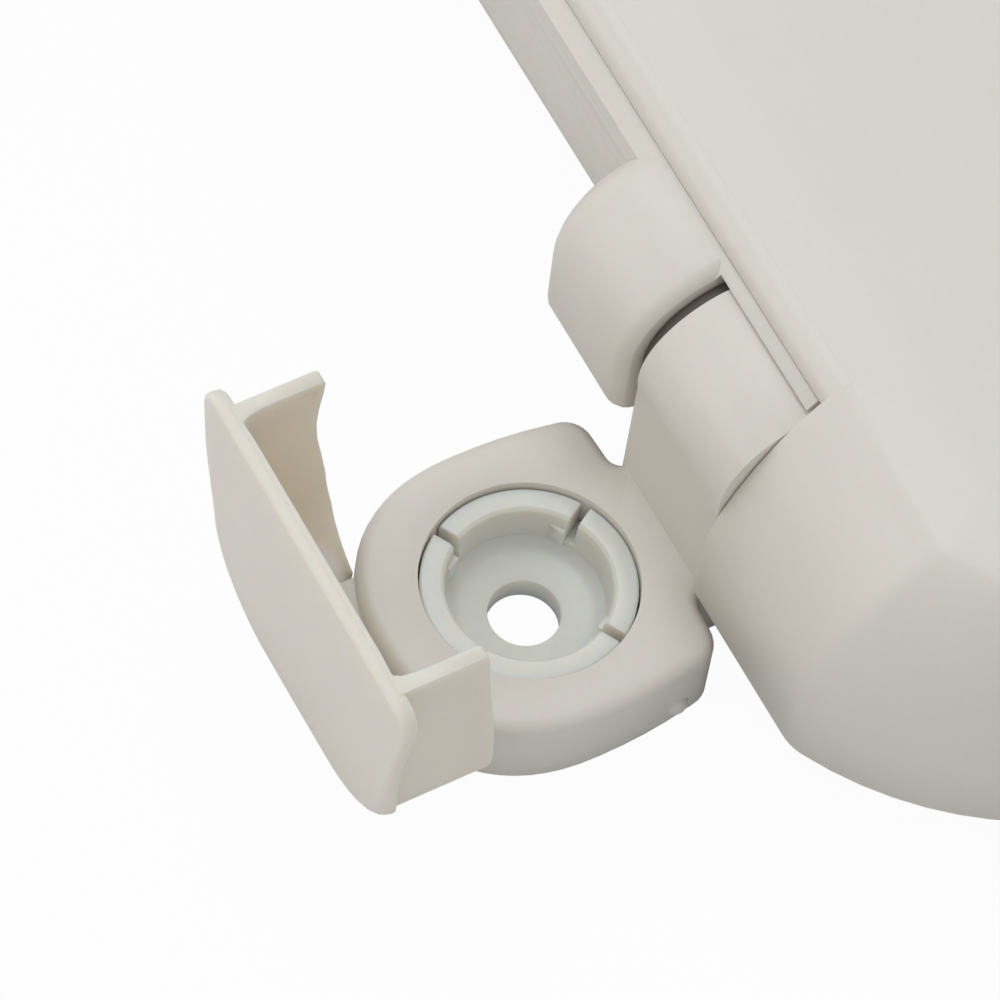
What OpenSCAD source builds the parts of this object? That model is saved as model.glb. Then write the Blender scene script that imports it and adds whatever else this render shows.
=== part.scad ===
// Toilet seat with lid, two fixing feet and their flip covers, in millimetres.
// Origin: midway between the two fixing holes on the ceramic. +X is the sitter's right,
// +Y points to the front of the seat and +Z is up.

/* [Fixing] */
// Distance between the two fixing holes in the ceramic
fixing_spacing = 155; // [140:1:170]
// Radius of the hole through each fixing insert
fixing_hole_r = 5.0; // [4:0.1:6]
// Thickness of the foot plate on the ceramic
foot_h = 13; // [11:0.5:15]
// Radius of the round recess in the foot plate
recess_r = 15; // [13:0.5:16]

/* [Hinge] */
// How far the hinge axis lies in front of the fixing holes
axis_y = 33.4; // [30:0.2:38]
// Height of the hinge axis above the ceramic
axis_z = 35.4; // [33:0.2:38]
// Radius of the barrel on each foot
barrel_r = 13.6; // [12:0.1:14]
// Radius of the hinge pin
pin_r = 4.0; // [3:0.1:5]

/* [Lid] */
// Half the width of the lid at its widest
lid_half_w = 184; // [170:1:195]
// Distance from the fixing holes to the front edge of the lid
lid_front = 432; // [400:1:450]
// Height of the lid's top at its rim
lid_top = 55; // [52:0.5:60]
// Wall thickness of the lid
lid_wall = 2.8; // [2:0.1:4]

/* [Seat] */
// Height of the seat's crown
seat_crown = 49; // [45:0.5:50]
// Half the width of the opening
opening_half_w = 109; // [100:1:115]
// Wall thickness of the seat moulding
seat_wall = 3.2; // [2.5:0.1:4]

/* [Cover] */
// Half the width of the flip cover across its side walls
cover_half_w = 23.9; // [23.5:0.1:26]
// Wall thickness of the flip cover
cover_wall = 1.55; // [1.2:0.05:2]

/* [Hidden] */
ivory = [0.90, 0.87, 0.83];
clear_grey = [0.80, 0.82, 0.80];
steel = [0.75, 0.76, 0.78];
soft_grey = [0.55, 0.52, 0.48];
foot_x = fixing_spacing / 2;
run_fit = 0.06;

// Places its children at the right foot for side 1 and mirrored at the left foot for side -1.
module at_foot(side) {
    translate([side * foot_x, 0, 0])
        if (side > 0) children();
        else mirror([1, 0, 0]) children();
}

// A solid along X from x0 to x1 whose section is drawn as (y, z) points.
module along_x(x0, x1) {
    translate([x0, 0, 0]) rotate([90, 0, 90]) linear_extrude(height = x1 - x0) children();
}

// A round bar along X about the hinge axis.
module on_axis(x0, x1, r) {
    translate([x0, axis_y, axis_z]) rotate([0, 90, 0]) cylinder(h = x1 - x0, r = r, $fn = 96);
}

function middle(ring) = [for (k = [0 : 2]) [for (p = ring) 1] * [for (p = ring) p[k]] / len(ring)];

// Skins a list of rings, each a list of 3-D points turning anticlockwise seen from above,
// from the lowest ring to the highest. Both ends are closed by a fan about the ring's middle.
module skin(rings) {
    n = len(rings[0]);
    m = len(rings);
    sides = [for (k = [0 : m - 2], i = [0 : n - 1], t = [0, 1])
        let (a = k * n + i, b = k * n + (i + 1) % n)
        t == 0 ? [b + n, b, a] : [a + n, b + n, a]];
    low = [for (i = [0 : n - 1]) [n * m, i, (i + 1) % n]];
    high = [for (i = [0 : n - 1]) [n * m + 1, (m - 1) * n + (i + 1) % n, (m - 1) * n + i]];
    polyhedron(points = concat([for (r = rings, p = r) p], [middle(rings[0]), middle(rings[m - 1])]),
               faces = concat(sides, low, high), convexity = 8);
}

// Outward unit normal of a closed anticlockwise outline at point i.
function out_dir(o, i) =
    let (n = len(o), d = o[(i + 1) % n] - o[(i + n - 1) % n], l = norm(d)) [d[1] / l, -d[0] / l];

// The outline drawn in by a distance.
function inset(o, by) = [for (i = [0 : len(o) - 1]) o[i] - by * out_dir(o, i)];
function lift(o, z) = [for (p = o) [p[0], p[1], z]];

// Mirrors a right-hand half outline, listed from the rear centre to the front centre.
function both_halves(h) = concat(h, [for (i = [len(h) - 2 : -1 : 1]) [-h[i][0], h[i][1]]]);

// Points of an arc, first and last included.
function arc(c, r, a0, a1, n) =
    [for (i = [0 : n]) let (a = a0 + (a1 - a0) * i / n) c + r * [cos(a), sin(a)]];

// Foot.
foot_half_w = 22.0;
foot_rear = 22.6;
foot_front = 18.6;
foot_power = 2.3;
side_draw = 0.00396;
side_power = 2.18;
corner_c = [16.5, 14.5];
corner_r = 4.1;
barrel_in = -10.6;
barrel_out = 11.3;
neck_r = 2.2;
neck_y = foot_front + 0.2;
plate_edge_r = 1.9;
floor_h = 2;

// Half of the foot plate's outline from the rear centre to the crease at the barrel block.
// The rear is a superellipse and the sides draw in towards the rounded front corners.
function foot_half(neck_x) = concat(
    [for (i = [0 : 16]) let (t = 90 * i / 16)
        [foot_half_w * pow(sin(t), 2 / foot_power), -foot_rear * pow(cos(t), 2 / foot_power)]],
    [for (y = [3.5 : 3.5 : 14]) [foot_half_w - side_draw * pow(y, side_power), y]],
    arc(corner_c, corner_r, 8, 90, 7),
    arc([neck_x + neck_r, neck_y + neck_r], neck_r, 270, 180, 6),
    [[neck_x, neck_y + neck_r + 4]]);

function foot_outline() =
    let (outer = foot_half(barrel_out), inner = foot_half(-barrel_in))
    concat(outer, [for (i = [len(inner) - 1 : -1 : 1]) [-inner[i][0], inner[i][1]]]);

// The plate with its top edge rounded over.
module foot_plate() {
    o = foot_outline();
    steps = [[0.5, 0], [0, 0.5], [0, foot_h - plate_edge_r],
             for (t = [22.5 : 22.5 : 90])
                 [plate_edge_r * (1 - cos(t)), foot_h - plate_edge_r * (1 - sin(t))],
             [plate_edge_r, foot_h + 1]];
    difference() {
        skin([for (s = steps) lift(inset(o, s[0]), s[1])]);
        translate([-30, -30, foot_h]) cube([60, 60, 3]);
    }
}

// Rear bar that carries the cover, with a bore for a stub pin at each end.
cover_axis_y = -24.2;
cover_axis_z = 6.4;
bar_r = 4.6;
bar_half = 11.8;
stub_r = 1.6;
stub_depth = 4;

module rear_bar() {
    translate([-bar_half, cover_axis_y, cover_axis_z])
        rotate([0, 90, 0]) cylinder(h = 2 * bar_half, r = bar_r, $fn = 48);
    along_x(-bar_half + 0.1, bar_half - 0.1)
        polygon([[cover_axis_y, cover_axis_z - bar_r + 0.5], [-17, cover_axis_z - bar_r + 0.5],
                 [-17, cover_axis_z + bar_r - 0.5], [cover_axis_y, cover_axis_z + bar_r - 0.5]]);
}

// Block that lifts the hinge barrel off the plate.
module barrel_block() {
    along_x(barrel_in + 0.02, barrel_out - 0.02)
        polygon([[axis_y - barrel_r + 0.2, 0.4], [36, 0.4], [36, axis_z],
                 [axis_y - barrel_r + 0.2, axis_z]]);
    on_axis(barrel_in, barrel_out, barrel_r);
}

nub_r = 1.9;
nub_x = 20.1;
nub_y = 12;
nub_z = 3;

module foot() {
    difference() {
        union() {
            foot_plate();
            barrel_block();
            rear_bar();
            for (s = [-1, 1]) translate([s * nub_x, nub_y, nub_z]) sphere(r = nub_r, $fn = 32);
        }
        translate([0, 0, floor_h]) cylinder(h = foot_h, r = recess_r, $fn = 96);
        translate([0, 0, -1]) cylinder(h = foot_h, r = fixing_hole_r + hole_clear, $fn = 64);
        on_axis(barrel_in - 1, barrel_out + 1, pin_r);
        for (s = [-1, 1]) translate([s * (bar_half - stub_depth / 2), cover_axis_y, cover_axis_z])
            rotate([0, 90, 0])
                cylinder(h = stub_depth + 0.8, r = stub_r + run_fit, center = true, $fn = 32);
    }
}

// Fixing insert: a dished disc in a ring that turns in the foot's recess.
insert_r = 14.7;
ring_in_r = 11.4;
ring_top = 12;
disc_top = 5;
notch_w = 1.5;
notch_angle = 30;
hole_clear = 2;
collar_r = fixing_hole_r + hole_clear - 0.2;

module insert() {
    difference() {
        rotate_extrude($fn = 96)
            polygon([[fixing_hole_r, 0], [collar_r, 0], [collar_r, floor_h + 0.05],
                     [insert_r - 0.4, floor_h + 0.05], [insert_r, floor_h + 0.5],
                     [insert_r, ring_top - 0.3], [insert_r - 0.3, ring_top], [ring_in_r + 0.5, ring_top],
                     [ring_in_r, ring_top - 0.5], [ring_in_r - 0.5, disc_top + 1.2],
                     [ring_in_r - 1.6, disc_top + 0.2], [fixing_hole_r + 1.6, disc_top - 0.6],
                     [fixing_hole_r, disc_top - 1.1]]);
        for (k = [0 : 3]) rotate([0, 0, notch_angle + 90 * k])
            translate([ring_in_r - 1, -notch_w / 2, ring_top - 5])
                cube([insert_r - ring_in_r + 2, notch_w, 6]);
    }
    for (k = [0 : 3]) rotate([0, 0, notch_angle + 90 * k])
        translate([ring_in_r - 0.9, notch_w / 2, disc_top]) cube([1.6, 2.2, ring_top - disc_top - 2.4]);
}

// Hinge pin, spacer and bushes.
spacer_w = 1.8;
knuckle_in = -12.8;
pin_in = -29;
pin_out = 28.5;
bush_r = 6.2;
bush_wall_end = 27.5;
lid_cheek = 11.6;

module pin() {
    translate([0, axis_y, axis_z]) rotate([0, 90, 0]) rotate_extrude($fn = 64)
        polygon([[0, pin_in], [pin_r - 0.6, pin_in], [pin_r, pin_in + 0.6],
                 [pin_r, pin_out - 0.6], [pin_r - 0.6, pin_out], [0, pin_out]]);
}

module spacer() {
    x0 = (barrel_in + knuckle_in - spacer_w) / 2;
    difference() {
        on_axis(x0, x0 + spacer_w, 11.8);
        on_axis(x0 - 1, x0 + spacer_w + 1, pin_r + run_fit);
    }
}

module bush(x0, x1) {
    difference() {
        on_axis(x0, x1, bush_r);
        on_axis(x0 - 1, x1 + 1, pin_r + run_fit);
    }
}

// Flip cover, drawn closed over the foot and turned up about its axis.
cover_front = 17.4;
cover_arc_y = -10.6;
cover_rear_r = 15;
cover_top_z = 19;
cover_fall = 2;
cover_fall_from = 5;
cover_fall_run = 31;
cover_dome = 0.3;
cover_inside_z = 16.7;
cover_tip_half_w = 23.5;
cover_tip_wall = 2.3;
cover_fillet = 0.8;
cover_axis_clear = 4.95;
lip_front = 28;
lip_rear = 24.6;
lip_t = 2.6;
lip_corner_r = 3.8;
lip_rear_r = 15.5;
hinge_notch_half = 13.8;

// Height of the cover's top surface over the foot: it falls a little to the rear and the sides.
function cover_drop(y) = cover_fall * pow(max(0, cover_fall_from - y) / cover_fall_run, 1.2);
function cover_z(x, y) = cover_top_z - cover_drop(y) - cover_dome * pow(x / lip_front, 2);

// D-shaped outline, open side to the front: half widths at the front and at the start of the
// rear corner, the rear corner's radius and the front corner's radius.
function d_half(w_front, w_rear, r, r_front) = concat(
    [[0, cover_arc_y - r]],
    arc([w_rear - r, cover_arc_y], r, -90, 0, 14),
    [for (i = [1 : 5]) let (u = i / 6)
        [w_rear + (w_front - w_rear) * pow(u, w_front < w_rear ? 4 : 1.25),
         cover_arc_y + u * (cover_front - r_front - cover_arc_y)]],
    r_front > 0 ? arc([w_front - r_front, cover_front - r_front], r_front, 0, 90, 5)
                : [[w_front, cover_front]]);

function d_outline(w_front, w_rear, r, r_front) =
    let (h = d_half(w_front, w_rear, r, r_front))
    concat(h, [for (i = [len(h) - 1 : -1 : 1]) [-h[i][0], h[i][1]]]);

// Radius of the plate's upper edge: soft at the rear, tighter along the lip.
function lip_edge_r(y) = 0.9 + 1.3 * min(1, max(0, (6 - y) / 22));

// The plate's outline drawn in by a share of the edge radius and set down by another share of it.
function lip_ring(o, share_in, share_down) = [for (i = [0 : len(o) - 1])
    let (r = lip_edge_r(o[i][1]), p = o[i] - share_in * r * out_dir(o, i))
    [p[0], p[1], cover_z(p[0], p[1]) - share_down * r]];

// The outline drawn in by a distance, shrunk about the plate's middle and set below its top surface.
function plate_ring(o, by, share, down) = [for (p = inset(o, by))
    let (c = [0, -3], q = c + share * (p - c)) [q[0], q[1], cover_z(q[0], q[1]) - down]];

module cover_top() {
    o = d_outline(lip_front, lip_rear, lip_rear_r, lip_corner_r);
    under = [[1, lip_t], [0.5, lip_t - 0.15], [0.15, lip_t - 0.45]];
    skin(concat(
        [for (f = [0.4, 0.75]) plate_ring(o, 1.2, f, lip_t)],
        [for (e = under) plate_ring(o, e[0], 1, e[1])],
        [for (t = [0 : 18 : 90]) lip_ring(o, 1 - cos(t), 1 - sin(t))],
        [for (f = [0.8, 0.5]) plate_ring(o, 2.4, f, 0)]));
}

// Lower edge of the cover's walls as (y, z): low at the rear, rising to the front tips. The inner
// wall, on the hinge spacer's side, is cut higher in the middle than the outer one.
inner_wall_low = [[-30, 1.4], [-22, 1.2], [-16, 1.1], [-9, 1.9], [-3, 3], [1, 3.8], [5.4, 4.3],
                  [10, 4.3], [14, 4.1], [16.6, 4.1], [17.1, 4.4], [17.4, 4.9], [18.5, 4.9]];
outer_wall_low = [[-30, 1.4], [-22, 1.2], [-16, 1.1], [-9, 1.4], [-3, 1.9], [1, 2.4], [5.4, 3],
                  [10, 3.5], [14, 3.9], [16.6, 4.1], [17.1, 4.4], [17.4, 4.9], [18.5, 4.9]];

// Side profile that a wall of the cover keeps inside.
module wall_profile(low) {
    polygon(concat(low, [[18.5, cover_inside_z + 0.5], [cover_fall_from, cover_inside_z + 0.5],
                         [-20, cover_inside_z - 1], [-30, cover_inside_z - 1.4]]));
}

module cover_walls() {
    intersection() {
        linear_extrude(height = 20) polygon(d_outline(cover_tip_half_w, cover_half_w, cover_rear_r, 0));
        union() {
            along_x(-30, 0.01) wall_profile(inner_wall_low);
            along_x(0, 30) wall_profile(outer_wall_low);
        }
    }
}

// Hollow of the cover: upright below, drawn in by a fillet under the plate, and open at the front.
module cover_hollow() {
    w = cover_wall;
    steps = [[0, 20], [0, 4.5], [0.12, 2.5], [0.35, 1], [cover_fillet, 0.2], [cover_fillet + 0.2, 0]];
    skin([for (s = steps)
        [for (p = d_outline(cover_tip_half_w - cover_tip_wall - s[0], cover_half_w - w - s[0],
                            cover_rear_r - w - s[0], 0))
            [p[0], p[1] > cover_front - 0.1 ? p[1] + 5 : p[1], cover_inside_z - cover_drop(p[1]) - s[1]]]]);
}

cheek_in = 12.05;
cheek_out = 14.0;
cheek_r = 3.2;
cover_knuckle_r = 4.9;
cover_knuckle_end = 20.3;
window_w = 2.2;
window_z = 6.8;

// Knuckle about the cover's axis, outside a cheek and inside the rear corner of the walls.
module cover_knuckle() {
    intersection() {
        translate([0, cover_axis_y, cover_axis_z]) rotate([0, 90, 0]) rotate_extrude($fn = 72)
            polygon([[0, cheek_in], [cheek_r + 0.7, cheek_in], [cover_knuckle_r, cheek_out + 0.1],
                     [cover_knuckle_r, cover_knuckle_end - 1.7],
                     [cover_knuckle_r - 0.5, cover_knuckle_end - 0.7],
                     [cover_knuckle_r - 1.6, cover_knuckle_end], [0, cover_knuckle_end]]);
        linear_extrude(height = 16)
            polygon(d_outline(cover_tip_half_w - 0.5, cover_half_w - 0.5, cover_rear_r - 0.5, 0));
    }
}

module cover_closed() {
    difference() {
        union() {
            cover_top();
            cover_walls();
        }
        cover_hollow();
        translate([-hinge_notch_half + 0.2, cover_axis_y, cover_axis_z]) rotate([0, 90, 0])
            cylinder(h = 2 * hinge_notch_half - 0.4, r = cover_axis_clear, $fn = 64);
        translate([-hinge_notch_half, -30, -1]) cube([2 * hinge_notch_half, 12, cover_axis_z + 1]);
        for (s = [-1, 1]) {
            translate([s * nub_x, nub_y, nub_z]) sphere(r = nub_r + 0.25, $fn = 32);
            translate([s * (cover_tip_half_w - cover_tip_wall + 0.1), cover_front - 3.2, window_z])
                cube([0.9, window_w, window_w], center = true);
        }
    }
    for (s = [-1, 1]) {
        translate([s * (cheek_in + cheek_out) / 2, cover_axis_y, cover_axis_z]) rotate([0, 90, 0])
            cylinder(h = cheek_out - cheek_in, r = cheek_r, center = true, $fn = 48);
        translate([s * (cheek_in + bar_half - stub_depth + 0.3) / 2, cover_axis_y, cover_axis_z])
            rotate([0, 90, 0])
                cylinder(h = cheek_in - bar_half + stub_depth - 0.1, r = stub_r, center = true, $fn = 48);
        translate([s * (cheek_in + cheek_out) / 2 - (cheek_out - cheek_in) / 2, -25.4, cover_axis_z])
            cube([cheek_out - cheek_in, 2.6, 10]);
    }
    cover_knuckle();
    mirror([1, 0, 0]) cover_knuckle();
}

module cover() {
    translate([0, cover_axis_y, cover_axis_z]) rotate([90, 0, 0])
        translate([0, -cover_axis_y, -cover_axis_z]) cover_closed();
}

// Lid: a lofted shell open below.
lid_rear = 18.6;
lid_skirt = 14;
lid_side_r = 300;
lid_wide_y = 200;
shoulder_z = 28;
shoulder_in = 17.5;
shoulder_power = 1.42;
lid_crown = 1.2;
notch_half = 89.1;
notch_y = 33.3;
edge_r = 3.7;
lid_edge_z = 51.3;
lip_join_y = 37;
lip_end_y = 38.5;

// Half outline of lid or seat: a straight rear, a rear corner of a tight and a wide arc that
// meet at corner_turn, a long side arc and half an ellipse to the front. The wide arc's end
// follows from the side arc.
corner_turn = -62;
function body_half(half_w, rear, front, r_side, r_tight, r_wide) =
    let (side_c = half_w - r_side,
         wide_c_y = rear + r_tight - (r_wide - r_tight) * sin(corner_turn),
         a = asin((wide_c_y - lid_wide_y) / (r_side - r_wide)),
         wide_c = [side_c + (r_side - r_wide) * cos(a), wide_c_y],
         tight_c = wide_c + (r_wide - r_tight) * [cos(corner_turn), sin(corner_turn)])
    concat([for (i = [0 : 6]) [tight_c[0] * i / 7, rear]],
           arc(tight_c, r_tight, -90, corner_turn, 6),
           [for (i = [1 : 6]) let (t = corner_turn + (a - corner_turn) * i / 6)
               wide_c + r_wide * [cos(t), sin(t)]],
           [for (i = [1 : 6]) let (t = a * (1 - i / 7))
               [side_c + r_side * cos(t), lid_wide_y + r_side * sin(t)]],
           [for (i = [0 : 15]) let (t = 90 * i / 15)
               [half_w * cos(t), lid_wide_y + (front - lid_wide_y) * sin(t)]]);

// Outline of the lid where its surface has come in by d at the rear, for a wall set in by w.
// The sides and the front come in less than the rear, and the corner tightens.
function lid_outline(d, w) =
    let (side = 0.6 * d + w)
    both_halves(body_half(lid_half_w - side, lid_rear + d + w, lid_front - 0.8 * d - w, lid_side_r - side,
                          max(2, 8 - 0.25 * d - w), 52 - side));

// Rings of the lid's skin: upright skirt, a superelliptic shoulder, then the crowned top.
function lid_rings(wall, z0) =
    let (top = lid_top - wall, c = [0, 215], n = 9, reach = shoulder_in - wall * 0.6,
         rim = lid_outline(reach, wall))
    concat([lift(lid_outline(0, wall), z0), lift(lid_outline(0, wall), 21)],
           [for (i = [0 : n]) let (t = 90 * i / n)
               lift(lid_outline(reach * (1 - pow(cos(t), 2 / shoulder_power)), wall),
                    shoulder_z + (top - shoulder_z) * pow(sin(t), 2 / shoulder_power))],
           [for (f = [0.93, 0.85, 0.7, 0.5, 0.25])
               lift([for (p = rim) c + f * (p - c)], top + lid_crown * (1 - f * f))]);

module lid_outer() {
    skin(lid_rings(0, lid_skirt));
}

module lid_inner() {
    skin(lid_rings(lid_wall, lid_skirt - 1));
}

// The lid's rear edge between the hinges: a rounded lip over the seat.
module lid_lip() {
    along_x(-notch_half, notch_half)
        polygon(concat([[notch_y, lid_edge_z], [lip_end_y, lid_edge_z], [lip_end_y, lid_top + 0.03],
                        [notch_y + edge_r, lid_top]],
                       arc([notch_y + edge_r, lid_top - edge_r], edge_r, 105, 180, 6)));
}

end_wall_t = 2.6;
end_wall_front = 58;
end_wall_r = 20;
boss_r = 9;

// Wall that closes the lid's outer knuckle beside the barrel.
module lid_end_wall() {
    intersection() {
        lid_outer();
        translate([foot_x + lid_cheek, 0, 0]) union() {
            along_x(0, end_wall_t) polygon([[lid_rear - 1, axis_z], [end_wall_front, axis_z],
                                            [end_wall_front, lid_top + 2], [lid_rear - 1, lid_top + 2]]);
            along_x(0, end_wall_t) translate([axis_y, axis_z]) circle(r = end_wall_r, $fn = 96);
        }
    }
}

// Boss for the pin, tied to the lid's top by two webs.
module lid_boss() {
    on_axis(lid_cheek, bush_wall_end, boss_r);
    for (x = [bush_wall_end - 2.4, 18.5])
        along_x(x, x + 2.4)
            polygon([[axis_y - 7.5, axis_z], [axis_y + 7.5, axis_z], [axis_y + 7.5, lid_top - 1.5],
                     [axis_y + 3.1, lid_top - 1.5], [axis_y - 3.4, lid_top - 6.5],
                     [axis_y - 7.5, lid_top - 12.5]]);
}

module lid() {
    difference() {
        union() {
            difference() {
                lid_outer();
                lid_inner();
                translate([-notch_half, 0, 0]) cube([2 * notch_half, lip_join_y, 70]);
            }
            lid_lip();
            for (s = [-1, 1]) {
                for (i = [front_i, rear_i]) translate(concat(crown_point(i, s), [lid_pad_top]))
                    cylinder(h = lid_top - 1.4 - lid_pad_top, r = lid_pad_r + 1.2, $fn = 48);
                if (s > 0) lid_end_wall();
                else mirror([1, 0, 0]) lid_end_wall();
                at_foot(s) lid_boss();
            }
        }
        for (s = [-1, 1]) {
            at_foot(s) on_axis(lid_cheek - 1, bush_wall_end + 1, bush_r);
            for (i = [front_i, rear_i]) translate(concat(crown_point(i, s), [lid_pad_top - 1]))
                cylinder(h = 3.5, r = lid_plug_r, $fn = 32);
        }
    }
}

// Seat: a ring moulding open below, with a rear body and two knuckles.
seat_gap = 7;
seat_rear = 61;
opening_rear = 98;
opening_front = 362;
seat_skirt = 17;
inner_skirt = 22;
seat_corner_r = 34;
half_points = 42;

function seat_outer() =
    both_halves(body_half(lid_half_w - seat_gap, seat_rear, lid_front - seat_gap, lid_side_r - seat_gap,
                          seat_corner_r, seat_corner_r + 0.01));

// Half outline of the opening with as many points as the seat's outline.
function opening_half() =
    let (k = half_points - 16)
    concat([for (i = [0 : k - 1]) let (t = 90 * i / k)
               [opening_half_w * pow(sin(t), 0.85),
                lid_wide_y - (lid_wide_y - opening_rear) * pow(cos(t), 0.85)]],
           [for (i = [0 : 15]) [opening_half_w * cos(90 * i / 15),
                               lid_wide_y + (opening_front - lid_wide_y) * sin(90 * i / 15)]]);

// Section of the ring as [share of the way in, distance from that side, height], outside first,
// over the crown to the opening, then back along the underside.
function ring_section() =
    let (w = seat_wall)
    [[0, 0, seat_skirt], [0, 0, 28], [0, 1.2, 36], [0, 4, 42], [0, 9, 46], [0, 16, 48.4],
     [0.45, 0, seat_crown],
     [0.62, 0, seat_crown - 0.3], [1, -15, 47.2], [1, -8, 45], [1, -3, 41], [1, -0.6, 35],
     [1, 0, inner_skirt],
     [1, -w, inner_skirt], [1, -w - 0.6, 34.5], [1, -w - 3, 39.2], [1, -w - 7, 42], [1, -w - 13, 44],
     [0.62, 0, seat_crown - 0.3 - w], [0.45, 0, seat_crown - w], [0, 16 + w * 0.6, 48.4 - w],
     [0, 9 + w, 43.6], [0, 4 + w, 40], [0, 1.2 + w, 35], [0, w, 27.5], [0, w, seat_skirt]];

module seat_ring() {
    o = seat_outer();
    q = both_halves(opening_half());
    sec = ring_section();
    n = len(o);
    m = len(sec);
    points = [for (i = [0 : n - 1], s = sec)
        let (d = (q[i] - o[i]) / norm(q[i] - o[i]), p = o[i] + s[0] * (q[i] - o[i]) + s[1] * d)
        [p[0], p[1], s[2]]];
    faces = [for (i = [0 : n - 1], k = [0 : m - 1], t = [0, 1])
        let (a = i * m + k, b = i * m + (k + 1) % m,
             c = ((i + 1) % n) * m + k, e = ((i + 1) % n) * m + (k + 1) % m)
        t == 0 ? [a, b, e] : [a, e, c]];
    polyhedron(points = points, faces = faces, convexity = 10);
}

body_half_w = 87.6;
body_rear = 31.0;
body_top = 51;
body_low = 30;
recess_hinge_r = 14.2;
knuckle_r = 15.1;
knuckle_low = 21;
knuckle_corner = 5;
knuckle_front = 48;

// Rear body section: rear wall, bevelled rear edge and top plate down to the ring's crown.
module body_section() {
    t = seat_wall;
    polygon([[body_rear, body_low], [body_rear + t, body_low], [body_rear + t, body_top - t - 1.2],
             [body_rear + t + 1.2, body_top - t], [66, body_top - t], [79, 45.9], [79, 47.6], [66, body_top],
             [33.3, body_top], [body_rear, 48.7]]);
}

// Full section of the rear body, for its end walls.
module body_end_section() {
    polygon([[body_rear, body_low], [62, 24], [62, 45], [79, 46.5], [79, 47.6], [66, body_top],
             [33.3, body_top],
             [body_rear, 48.7]]);
}

// Knuckle section in (y, z), turning anticlockwise: its radius about the hinge axis, and how
// much its outline is drawn in at the rounded face. Below the axis it is squarer than a circle.
function knuckle_section(r, draw) =
    let (low = max(knuckle_low, axis_z - r), corner = min(r, knuckle_corner + 2.5 * (knuckle_r - r)) - draw)
    concat([[knuckle_front, low + draw], [knuckle_front, body_top - 1.5]],
           [for (i = [0 : 12]) let (t = 90 + 90 * i / 12)
               [axis_y + (r - draw) * cos(t), axis_z + (r - draw) * sin(t)]],
           [for (i = [1 : 6]) let (t = 180 + 90 * i / 6)
               [axis_y - r + draw + corner * (1 + cos(t)), low + draw + corner * (1 + sin(t))]]);

// Each entry: x, radius, draw-in. The inner end is a round cap and the outer face has a soft edge.
cap_x = -31;
cap_length = 6.5;
knuckle_steps = concat(
    [for (t = [82 : -10 : 12]) [cap_x - cap_length * pow(sin(t), 1.15), knuckle_r * cos(t), 0]],
    [[cap_x, knuckle_r, 0], [-22, knuckle_r, 0], [-14.9, knuckle_r, 0], [-14.1, knuckle_r, 0.25],
     [-13.3, knuckle_r, 0.8], [knuckle_in, knuckle_r, 1.6]]);

module knuckle() {
    skin([for (k = knuckle_steps) [for (p = knuckle_section(k[1], k[2])) [k[0], p[0], p[1]]]]);
    for (x = [-30, -18])
        along_x(x, x + 3) polygon([[knuckle_front - 1, knuckle_low + 1], [62.5, knuckle_low + 1],
                                   [62.5, 44], [66, body_top - 2], [knuckle_front - 1, body_top - 2]]);
}

// Point on the crown of the ring at outline index i, to the right for side 1.
function crown_point(i, side) =
    let (o = seat_outer()[i], q = opening_half()[i], p = o + 0.45 * (q - o)) [side * p[0], p[1]];

front_i = 34;
rear_i = 23;
pad_h = 9;
plug_r = 3;
boss_top = 47;

module seat() {
    difference() {
        union() {
            seat_ring();
            along_x(-body_half_w, body_half_w) body_section();
            for (s = [-1, 1]) {
                at_foot(s) knuckle();
                translate([s > 0 ? body_half_w - seat_wall : -body_half_w, 0, 0])
                    along_x(0, seat_wall) body_end_section();
                for (i = [front_i, rear_i]) translate(concat(crown_point(i, s), [pad_h]))
                    cylinder(h = boss_top - pad_h, r = 7.5, $fn = 48);
            }
        }
        for (s = [-1, 1]) {
            at_foot(s) {
                on_axis(knuckle_in, barrel_out + 2, recess_hinge_r);
                on_axis(pin_in - 0.6, knuckle_in + 1, bush_r);
            }
            for (i = [front_i, rear_i]) translate(concat(crown_point(i, s), [pad_h - 1]))
                cylinder(h = 10, r = plug_r, $fn = 32);
        }
    }
}

// Oblong soft pad under the seat with a round plug in the seat's boss.
module seat_buffer(i, side) {
    translate(concat(crown_point(i, side), [0])) {
        linear_extrude(height = pad_h) {
            square([18, 20], center = true);
            for (e = [-1, 1]) translate([e * 9, 0]) circle(r = 10, $fn = 64);
        }
        translate([0, 0, pad_h]) cylinder(h = 8, r = plug_r, $fn = 32);
    }
}

lid_pad_r = 6.5;
lid_pad_top = 51;
lid_plug_r = 2.2;

// Soft pad under the lid, resting on the seat's crown.
module lid_buffer(i, side) {
    translate(concat(crown_point(i, side), [seat_crown])) {
        cylinder(h = lid_pad_top - seat_crown, r = lid_pad_r, $fn = 48);
        cylinder(h = lid_pad_top - seat_crown + 2.4, r = lid_plug_r, $fn = 32);
    }
}

color(ivory) at_foot(1) foot();  // foot_right
color(ivory) at_foot(-1) foot();  // foot_left
color(clear_grey) at_foot(1) insert();  // insert_right
color(clear_grey) at_foot(-1) insert();  // insert_left
color(ivory) at_foot(1) cover();  // cover_right
color(ivory) at_foot(-1) cover();  // cover_left
color(steel) at_foot(1) pin();  // pin_right
color(steel) at_foot(-1) pin();  // pin_left
color(soft_grey) at_foot(1) spacer();  // spacer_right
color(soft_grey) at_foot(-1) spacer();  // spacer_left
color(clear_grey) at_foot(1) bush(pin_in, knuckle_in);  // seat_bush_right
color(clear_grey) at_foot(-1) bush(pin_in, knuckle_in);  // seat_bush_left
color(clear_grey) at_foot(1) bush(lid_cheek, bush_wall_end);  // lid_bush_right
color(clear_grey) at_foot(-1) bush(lid_cheek, bush_wall_end);  // lid_bush_left
color(ivory) seat();
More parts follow.
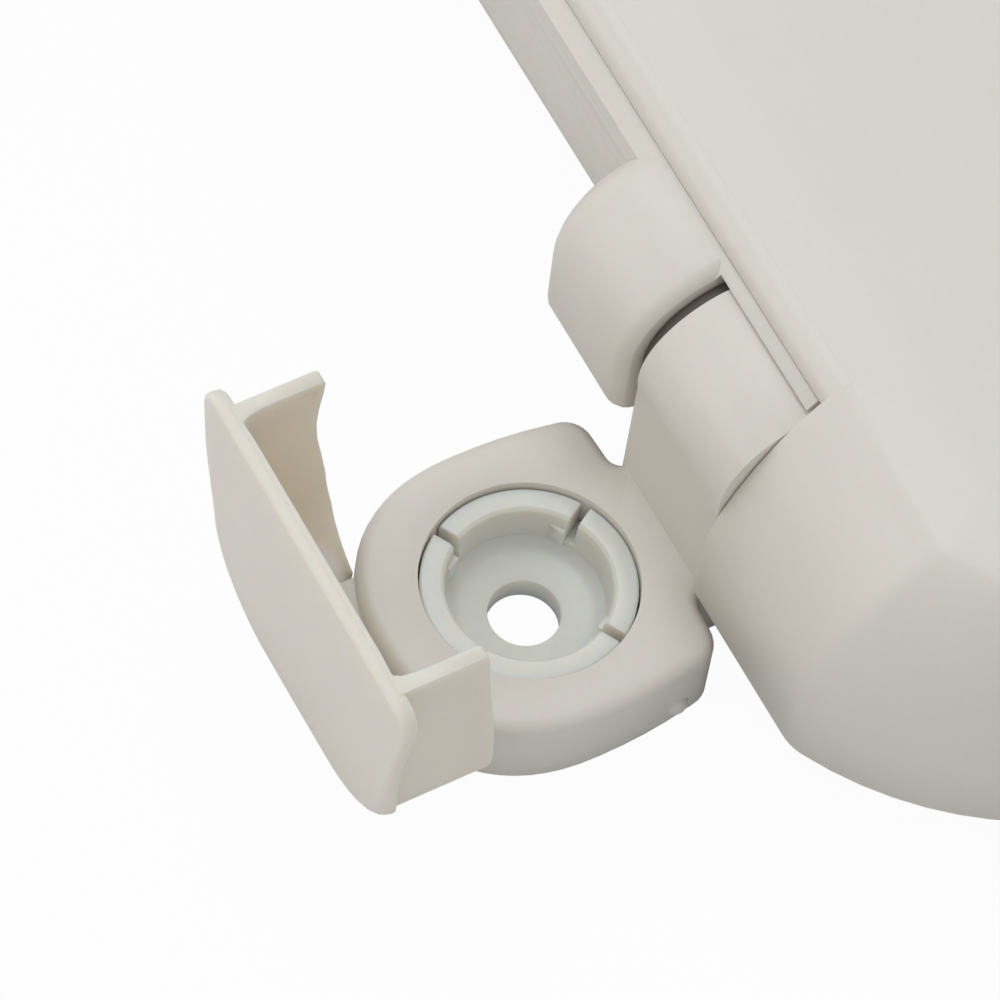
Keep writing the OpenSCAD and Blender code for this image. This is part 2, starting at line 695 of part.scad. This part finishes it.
color(soft_grey) seat_buffer(front_i, 1);  // seat_buffer_front_right
color(soft_grey) seat_buffer(front_i, -1);  // seat_buffer_front_left
color(soft_grey) seat_buffer(rear_i, 1);  // seat_buffer_rear_right
color(soft_grey) seat_buffer(rear_i, -1);  // seat_buffer_rear_left
color(ivory) lid();
color(soft_grey) lid_buffer(front_i, 1);  // lid_buffer_front_right
color(soft_grey) lid_buffer(front_i, -1);  // lid_buffer_front_left
color(soft_grey) lid_buffer(rear_i, 1);  // lid_buffer_rear_right
color(soft_grey) lid_buffer(rear_i, -1);  // lid_buffer_rear_left
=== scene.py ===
"""Toilet seat with lid, hinged fixing feet and their flip covers, seen at the right-hand hinge."""
import math
import bpy
import numpy as np
from mathutils import Matrix, Vector

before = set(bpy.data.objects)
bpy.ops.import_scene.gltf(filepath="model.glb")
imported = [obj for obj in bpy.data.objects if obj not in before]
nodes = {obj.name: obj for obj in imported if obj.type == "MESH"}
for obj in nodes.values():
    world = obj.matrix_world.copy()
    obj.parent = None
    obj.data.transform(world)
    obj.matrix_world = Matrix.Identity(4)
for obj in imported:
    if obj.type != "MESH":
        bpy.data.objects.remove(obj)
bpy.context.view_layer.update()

MM = 0.001
FOOT_X = 77.5
COOL = (0.91, 0.95, 1.0)
NEUTRAL = (1.0, 0.98, 0.95)


# Camera and light

def place_camera():
    """Long lens on the right-hand foot. The direction from the foot to the camera is 36.5 degrees
    to the right of straight behind and 59.6 degrees up, and the picture is rolled by 9.5 degrees."""
    azimuth, elevation, roll = (math.radians(v) for v in (-36.511, 59.625, 9.464))
    back = np.array([math.cos(elevation) * math.cos(azimuth), math.cos(elevation) * math.sin(azimuth),
                     math.sin(elevation)])
    side = np.cross(-back, [0, 0, 1.0])
    side /= np.linalg.norm(side)
    up = np.cross(side, -back)
    right = math.cos(roll) * side + math.sin(roll) * up
    top = -math.sin(roll) * side + math.cos(roll) * up
    spot = (np.array([FOOT_X, 0, 13.0]) - 4.004 * right + 10.645 * top + 998.152 * back) * MM
    camera = bpy.data.objects.new("camera", bpy.data.cameras.new("camera"))
    camera.data.lens = 270
    camera.data.sensor_width = 36
    camera.data.clip_start = 0.05
    camera.data.clip_end = 50
    turn = Matrix((right, top, back)).transposed().to_4x4()
    camera.matrix_world = Matrix.Translation(spot) @ turn
    bpy.context.scene.collection.objects.link(camera)
    bpy.context.scene.camera = camera


def soft_box(name, spot, aim, size, watts, colour):
    lamp = bpy.data.objects.new(name, bpy.data.lights.new(name, "AREA"))
    lamp.data.shape = "SQUARE"
    lamp.data.size = size
    lamp.data.energy = watts
    lamp.data.color = colour
    lamp.location = spot
    lamp.rotation_euler = (Vector(aim) - Vector(spot)).to_track_quat("-Z", "Y").to_euler()
    bpy.context.scene.collection.objects.link(lamp)


def studio():
    """Plain display colours, a pale floor that takes the object's shadow, a world that the camera
    sees as white, and soft lamps: a cool one overhead and a neutral one from behind the hinges."""
    bpy.context.scene.view_settings.view_transform = "Standard"
    world = bpy.data.worlds.new("studio")
    bpy.context.scene.world = world
    world.use_nodes = True
    tree = world.node_tree
    tree.nodes.clear()
    out = tree.nodes.new("ShaderNodeOutputWorld")
    lit = tree.nodes.new("ShaderNodeBackground")
    lit.inputs["Color"].default_value = (*COOL, 1)
    lit.inputs["Strength"].default_value = 0.64
    seen = tree.nodes.new("ShaderNodeBackground")
    seen.inputs["Color"].default_value = (1, 1, 1, 1)
    seen.inputs["Strength"].default_value = 1.0
    path = tree.nodes.new("ShaderNodeLightPath")
    mix = tree.nodes.new("ShaderNodeMixShader")
    tree.links.new(path.outputs["Is Camera Ray"], mix.inputs["Fac"])
    tree.links.new(lit.outputs[0], mix.inputs[1])
    tree.links.new(seen.outputs[0], mix.inputs[2])
    tree.links.new(mix.outputs[0], out.inputs["Surface"])

    mesh = bpy.data.meshes.new("floor")
    mesh.from_pydata([(-4, -4, 0), (4, -4, 0), (4, 4, 0), (-4, 4, 0)], [], [(0, 1, 2, 3)])
    floor = bpy.data.objects.new("floor", mesh)
    bpy.context.scene.collection.objects.link(floor)
    floor.location.z = -0.0002
    paint = bpy.data.materials.new("floor_white")
    paint.use_nodes = True
    tree = paint.node_tree
    shade = tree.nodes["Principled BSDF"]
    shade.inputs["Base Color"].default_value = (0.78, 0.78, 0.78, 1)
    shade.inputs["Roughness"].default_value = 0.9
    shade.inputs["Specular IOR Level"].default_value = 0.1
    glow = tree.nodes.new("ShaderNodeEmission")
    glow.inputs["Color"].default_value = (1, 1, 1, 1)
    glow.inputs["Strength"].default_value = 1.0
    path = tree.nodes.new("ShaderNodeLightPath")
    share = tree.nodes.new("ShaderNodeMath")
    share.operation = "MULTIPLY"
    share.inputs[1].default_value = 0.96
    mix = tree.nodes.new("ShaderNodeMixShader")
    tree.links.new(path.outputs["Is Camera Ray"], share.inputs[0])
    tree.links.new(share.outputs[0], mix.inputs["Fac"])
    tree.links.new(shade.outputs[0], mix.inputs[1])
    tree.links.new(glow.outputs[0], mix.inputs[2])
    tree.links.new(mix.outputs[0], tree.nodes["Material Output"].inputs["Surface"])
    mesh.materials.append(paint)

    hinge = (FOOT_X * MM, 0.03, 0.03)
    soft_box("key_lamp", (-0.6, 0.1, 1.7), hinge, 1.2, 10.0, COOL)
    soft_box("rear_lamp", (-0.6, -1.5, 0.6), hinge, 1.0, 4.4, NEUTRAL)


# Finishes

def new_material(name):
    material = bpy.data.materials.new(name)
    material.use_nodes = True
    return material, material.node_tree, material.node_tree.nodes["Principled BSDF"]


def cloud_group():
    """Soft cloudy mask over the surface: two sizes of noise on Object coordinates, mixed."""
    group = bpy.data.node_groups.new("moulding_clouds", "ShaderNodeTree")
    group.interface.new_socket("Scale", in_out="INPUT", socket_type="NodeSocketFloat")
    group.interface.new_socket("Mask", in_out="OUTPUT", socket_type="NodeSocketFloat")
    start = group.nodes.new("NodeGroupInput")
    end = group.nodes.new("NodeGroupOutput")
    place = group.nodes.new("ShaderNodeTexCoord")
    large = group.nodes.new("ShaderNodeTexNoise")
    large.inputs["Detail"].default_value = 3
    group.links.new(place.outputs["Object"], large.inputs["Vector"])
    group.links.new(start.outputs["Scale"], large.inputs["Scale"])
    small = group.nodes.new("ShaderNodeTexNoise")
    small.inputs["Scale"].default_value = 900
    small.inputs["Detail"].default_value = 4
    group.links.new(place.outputs["Object"], small.inputs["Vector"])
    mix = group.nodes.new("ShaderNodeMix")
    mix.inputs["Factor"].default_value = 0.35
    group.links.new(large.outputs["Fac"], mix.inputs[2])
    group.links.new(small.outputs["Fac"], mix.inputs[3])
    group.links.new(mix.outputs[0], end.inputs["Mask"])
    return group


def moulded(name, low, high, roughness, grain_depth, clouds, scale=45.0, scatter=0.0, depth=2.0):
    """Moulded plastic: colour drifts between two close tones, gloss varies a little, and a fine
    grain stands in the surface."""
    material, tree, shade = new_material(name)
    mask = tree.nodes.new("ShaderNodeGroup")
    mask.node_tree = clouds
    mask.inputs["Scale"].default_value = scale
    ramp = tree.nodes.new("ShaderNodeValToRGB")
    ramp.color_ramp.elements[0].position, ramp.color_ramp.elements[0].color = 0.3, (*low, 1)
    ramp.color_ramp.elements[1].position, ramp.color_ramp.elements[1].color = 0.7, (*high, 1)
    tree.links.new(mask.outputs["Mask"], ramp.inputs["Fac"])
    tree.links.new(ramp.outputs["Color"], shade.inputs["Base Color"])
    gloss = tree.nodes.new("ShaderNodeMapRange")
    gloss.inputs["From Min"].default_value, gloss.inputs["From Max"].default_value = 0.3, 0.7
    gloss.inputs["To Min"].default_value = roughness - 0.04
    gloss.inputs["To Max"].default_value = roughness + 0.05
    tree.links.new(mask.outputs["Mask"], gloss.inputs["Value"])
    tree.links.new(gloss.outputs["Result"], shade.inputs["Roughness"])
    place = tree.nodes.new("ShaderNodeTexCoord")
    grain = tree.nodes.new("ShaderNodeTexNoise")
    grain.inputs["Scale"].default_value = 1500
    grain.inputs["Detail"].default_value = 2
    tree.links.new(place.outputs["Object"], grain.inputs["Vector"])
    bump = tree.nodes.new("ShaderNodeBump")
    bump.inputs["Strength"].default_value = 0.25
    bump.inputs["Distance"].default_value = grain_depth
    tree.links.new(grain.outputs["Fac"], bump.inputs["Height"])
    tree.links.new(bump.outputs["Normal"], shade.inputs["Normal"])
    if scatter:
        shade.inputs["Subsurface Weight"].default_value = scatter
        shade.inputs["Subsurface Radius"].default_value = (1.0, 0.6, 0.32)
        shade.inputs["Subsurface Scale"].default_value = depth * MM
    return material


def finishes():
    clouds = cloud_group()
    table = {}
    table["ivory"] = moulded("ivory_moulding", (0.740, 0.688, 0.608), (0.770, 0.716, 0.634),
                             0.42, 0.00002, clouds, 45, 0.2)
    table["thin_ivory"] = moulded("ivory_thin_wall", (0.740, 0.692, 0.615), (0.770, 0.720, 0.640),
                                  0.42, 0.00002, clouds, 45, 0.75, 5.0)
    table["nylon"] = moulded("clear_nylon", (0.755, 0.735, 0.670), (0.795, 0.775, 0.710),
                             0.33, 0.00002, clouds, 120, 0.85, 4.0)
    table["washer"] = moulded("brown_washer", (0.105, 0.088, 0.072), (0.135, 0.115, 0.096),
                              0.6, 0.00003, clouds, 200)
    table["pad"] = moulded("pale_pad", (0.60, 0.585, 0.55), (0.66, 0.64, 0.60), 0.6, 0.00004, clouds, 90)
    steel = moulded("ground_steel", (0.50, 0.50, 0.51), (0.62, 0.62, 0.63), 0.3, 0.00001, clouds, 400)
    steel.node_tree.nodes["Principled BSDF"].inputs["Metallic"].default_value = 1.0
    table["steel"] = steel
    return table


def dress(name, material, edge=0.0, angle=32):
    """Gives a CAD node its finish and soft edges: doubles are welded, edges sharper than the angle
    are rounded by the given millimetres, and the rest is shaded smooth."""
    piece = nodes[name]
    piece.data.materials.clear()
    piece.data.materials.append(material)
    piece.data.polygons.foreach_set("use_smooth", np.ones(len(piece.data.polygons), dtype=bool))
    weld = piece.modifiers.new("weld", "WELD")
    weld.merge_threshold = 0.00001
    if edge:
        bevel = piece.modifiers.new("soft_edge", "BEVEL")
        bevel.width = edge * MM
        bevel.segments = 2
        bevel.limit_method = "ANGLE"
        bevel.angle_limit = math.radians(angle)
        bevel.harden_normals = True
        bevel.miter_outer = "MITER_ARC"
    else:
        split = piece.modifiers.new("crease", "EDGE_SPLIT")
        split.split_angle = math.radians(angle)


place_camera()
studio()
finish = finishes()
for side in ("right", "left"):
    dress(f"foot_{side}", finish["ivory"], 0.35)
    dress(f"cover_{side}", finish["thin_ivory"], 0.3)
    dress(f"insert_{side}", finish["nylon"], 0.4)
    dress(f"pin_{side}", finish["steel"])
    dress(f"spacer_{side}", finish["washer"], 0.15)
    dress(f"seat_bush_{side}", finish["nylon"])
    dress(f"lid_bush_{side}", finish["nylon"])
    for part in ("front", "rear"):
        dress(f"seat_buffer_{part}_{side}", finish["pad"], 0.8)
        dress(f"lid_buffer_{part}_{side}", finish["pad"], 0.3)
dress("seat", finish["ivory"], 0.3)
dress("lid", finish["ivory"], 0.3)
